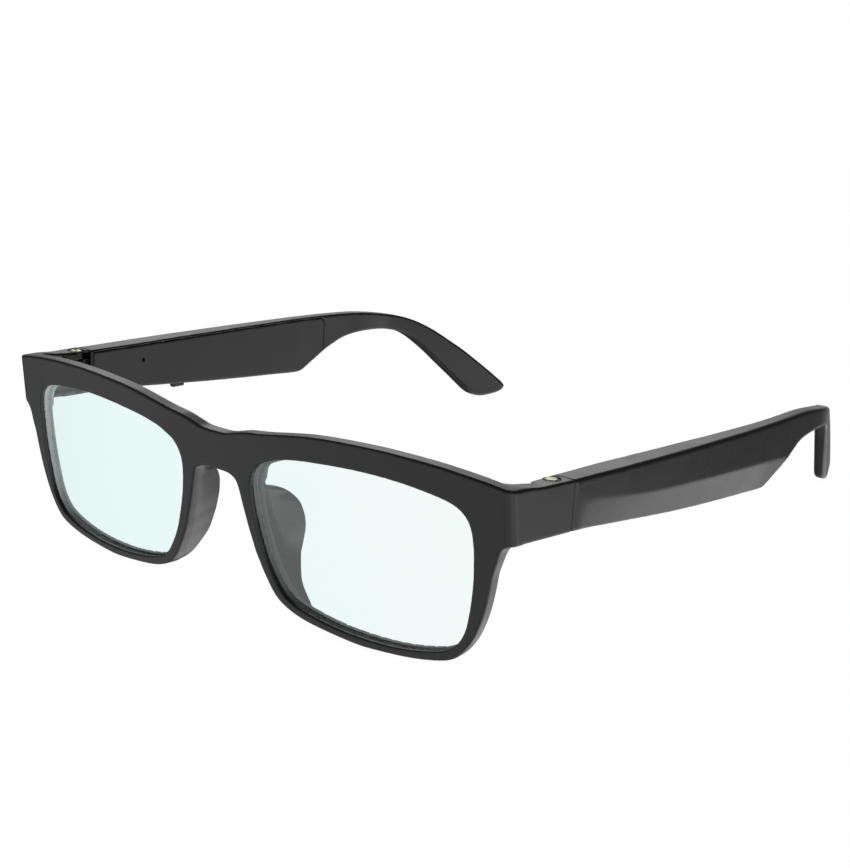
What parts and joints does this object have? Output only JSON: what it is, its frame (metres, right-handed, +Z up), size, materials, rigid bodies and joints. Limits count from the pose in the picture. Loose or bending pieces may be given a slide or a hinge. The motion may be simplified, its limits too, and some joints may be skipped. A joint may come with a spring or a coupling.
{
  "type": "smart glasses",
  "caption": "Full-rim smart glasses with clear lenses, an integral nose rest, and folding temples that hold audio electronics and end in down-curved ear hooks.",
  "frame": {"origin": "bottom centre of the bounding box, on the plane that the rims and temple tips stand on", "axes": "+Z up; the lenses face -Y and the open temples run to +Y; +X is to the wearer's left"},
  "size_m": [0.1488, 0.1684, 0.0429],
  "materials": {
    "frame_black": "satin moulded black",
    "cover_black": "fine matte moulded black",
    "lens_clear": "clear, hard coated, faint cyan",
    "hinge_bronze": "dark bronze plated",
    "pin_gold": "pale gold plated, polished",
    "screw_steel": "plain steel",
    "switch_steel": "pressed steel can",
    "board_green": "solder mask",
    "microphone_can": "pressed steel can",
    "battery_foil": "pouch foil",
    "speaker_can": "painted steel can",
    "grille_black": "black punched plate",
    "contact_gold": "gold plated"
  },
  "bodies": {
    "front": {"front_frame": "frame_black", "lens_left": "lens_clear", "hinge_front_leaf_left": "hinge_bronze", "hinge_screw_left": "pin_gold", "front_leaf_screw_left": "screw_steel", "lens_right": "lens_clear", "hinge_front_leaf_right": "hinge_bronze", "hinge_screw_right": "pin_gold", "front_leaf_screw_right": "screw_steel"},
    "temple_left": {"temple_shell_left": "frame_black", "temple_cover_left": "cover_black", "hinge_temple_leaf_left": "hinge_bronze", "temple_leaf_screw_left": "screw_steel", "button_switch_left": "switch_steel", "circuit_board_left": "board_green", "microphone_left": "microphone_can", "battery_left": "battery_foil", "speaker_left": "speaker_can", "speaker_grille_left": "grille_black", "charge_contact_front_left": "contact_gold", "charge_contact_rear_left": "contact_gold"},
    "button_left": {"push_button_left": "cover_black"},
    "temple_right": {"temple_shell_right": "frame_black", "temple_cover_right": "cover_black", "hinge_temple_leaf_right": "hinge_bronze", "temple_leaf_screw_right": "screw_steel", "button_switch_right": "switch_steel", "circuit_board_right": "board_green", "microphone_right": "microphone_can", "battery_right": "battery_foil", "speaker_right": "speaker_can", "speaker_grille_right": "grille_black", "charge_contact_front_right": "contact_gold", "charge_contact_rear_right": "contact_gold"},
    "button_right": {"push_button_right": "cover_black"}
  },
  "joints": [
    {"name": "temple_fold_left", "type": "hinge", "parent": "front", "child": "temple_left", "pos_m": [0.0695, -0.06312, 0.0339], "axis": [0, 0.073, 0.9973], "range_deg": [0, 88]},
    {"name": "temple_fold_right", "type": "hinge", "parent": "front", "child": "temple_right", "pos_m": [-0.0695, -0.06312, 0.0339], "axis": [0, -0.073, -0.9973], "range_deg": [0, 76]},
    {"name": "button_press_left", "type": "slide", "parent": "temple_left", "child": "button_left", "axis": [0, 0.073, 0.9973], "range_m": [0, 0.0004], "stiffness_N_per_m": 800, "springref_m": -0.0006},
    {"name": "button_press_right", "type": "slide", "parent": "temple_right", "child": "button_right", "axis": [0, 0.073, 0.9973], "range_m": [0, 0.0004], "stiffness_N_per_m": 800, "springref_m": -0.0006}
  ]
}
